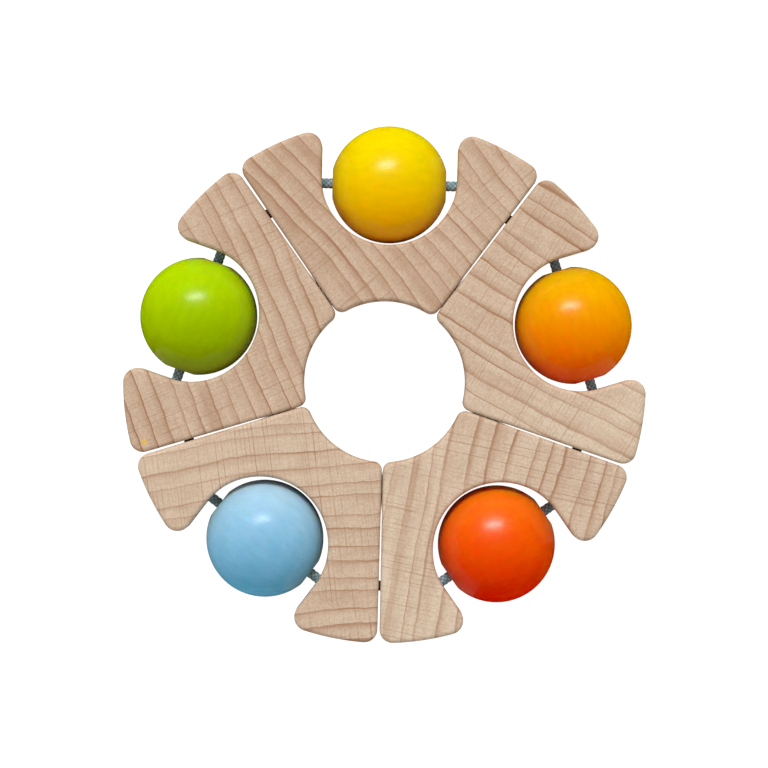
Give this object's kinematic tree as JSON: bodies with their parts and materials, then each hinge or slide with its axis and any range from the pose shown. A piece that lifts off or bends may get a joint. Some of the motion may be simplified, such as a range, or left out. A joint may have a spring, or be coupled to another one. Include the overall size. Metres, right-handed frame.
{
  "type": "rattle wheel",
  "caption": "Flat wooden clutching wheel: notched wedge segments and painted balls strung on one elastic cord, so the balls spin and the segments pull apart and spring back.",
  "frame": {"origin": "middle of the open centre, at half the thickness of the segments", "axes": "+Z along the wheel's axis towards the viewer, +Y towards the top segment, +X to the right"},
  "size_m": [0.111, 0.1099, 0.025],
  "materials": {
    "beech": "sanded bare beech with a matt natural finish",
    "paint_yellow": "semi-gloss paint on turned wood",
    "paint_orange": "semi-gloss paint on turned wood",
    "paint_red": "semi-gloss paint on turned wood",
    "paint_blue": "semi-gloss paint on turned wood",
    "paint_green": "semi-gloss paint on turned wood",
    "elastic_cord": "braided textile sleeve over a rubber core"
  },
  "bodies": {
    "top_segment": {"segment_top": "beech", "elastic_cord": "elastic_cord"},
    "upper_right_segment": {"segment_upper_right": "beech"},
    "lower_right_segment": {"segment_lower_right": "beech"},
    "lower_left_segment": {"segment_lower_left": "beech"},
    "upper_left_segment": {"segment_upper_left": "beech"},
    "yellow_ball": {"ball_yellow": "paint_yellow"},
    "orange_ball": {"ball_orange": "paint_orange"},
    "red_ball": {"ball_red": "paint_red"},
    "blue_ball": {"ball_blue": "paint_blue"},
    "green_ball": {"ball_green": "paint_green"}
  },
  "joints": [
    {"name": "upper_right_pull", "type": "slide", "parent": "top_segment", "child": "upper_right_segment", "axis": [0.9511, 0.309, 0], "range_m": [0, 0.006], "stiffness_N_per_m": 150, "springref_m": -0.01, "deforming": ["elastic_cord"]},
    {"name": "lower_right_pull", "type": "slide", "parent": "top_segment", "child": "lower_right_segment", "axis": [0.5878, -0.809, 0], "range_m": [0, 0.006], "stiffness_N_per_m": 150, "springref_m": -0.01, "deforming": ["elastic_cord"]},
    {"name": "lower_left_pull", "type": "slide", "parent": "top_segment", "child": "lower_left_segment", "axis": [-0.5878, -0.809, 0], "range_m": [0, 0.006], "stiffness_N_per_m": 150, "springref_m": -0.01, "deforming": ["elastic_cord"]},
    {"name": "upper_left_pull", "type": "slide", "parent": "top_segment", "child": "upper_left_segment", "axis": [-0.9511, 0.309, 0], "range_m": [0, 0.006], "stiffness_N_per_m": 150, "springref_m": -0.01, "deforming": ["elastic_cord"]},
    {"name": "yellow_spin", "type": "hinge", "parent": "top_segment", "child": "yellow_ball", "pos_m": [0, 0.042, 0], "axis": [1, 0, 0], "continuous": true},
    {"name": "orange_spin", "type": "hinge", "parent": "upper_right_segment", "child": "orange_ball", "pos_m": [0.03994, 0.01298, 0], "axis": [0.309, -0.9511, 0], "continuous": true},
    {"name": "red_spin", "type": "hinge", "parent": "lower_right_segment", "child": "red_ball", "pos_m": [0.02469, -0.03398, 0], "axis": [-0.809, -0.5878, 0], "continuous": true},
    {"name": "blue_spin", "type": "hinge", "parent": "lower_left_segment", "child": "blue_ball", "pos_m": [-0.02469, -0.03398, 0], "axis": [-0.809, 0.5878, 0], "continuous": true},
    {"name": "green_spin", "type": "hinge", "parent": "upper_left_segment", "child": "green_ball", "pos_m": [-0.03994, 0.01298, 0], "axis": [0.309, 0.9511, 0], "continuous": true}
  ]
}
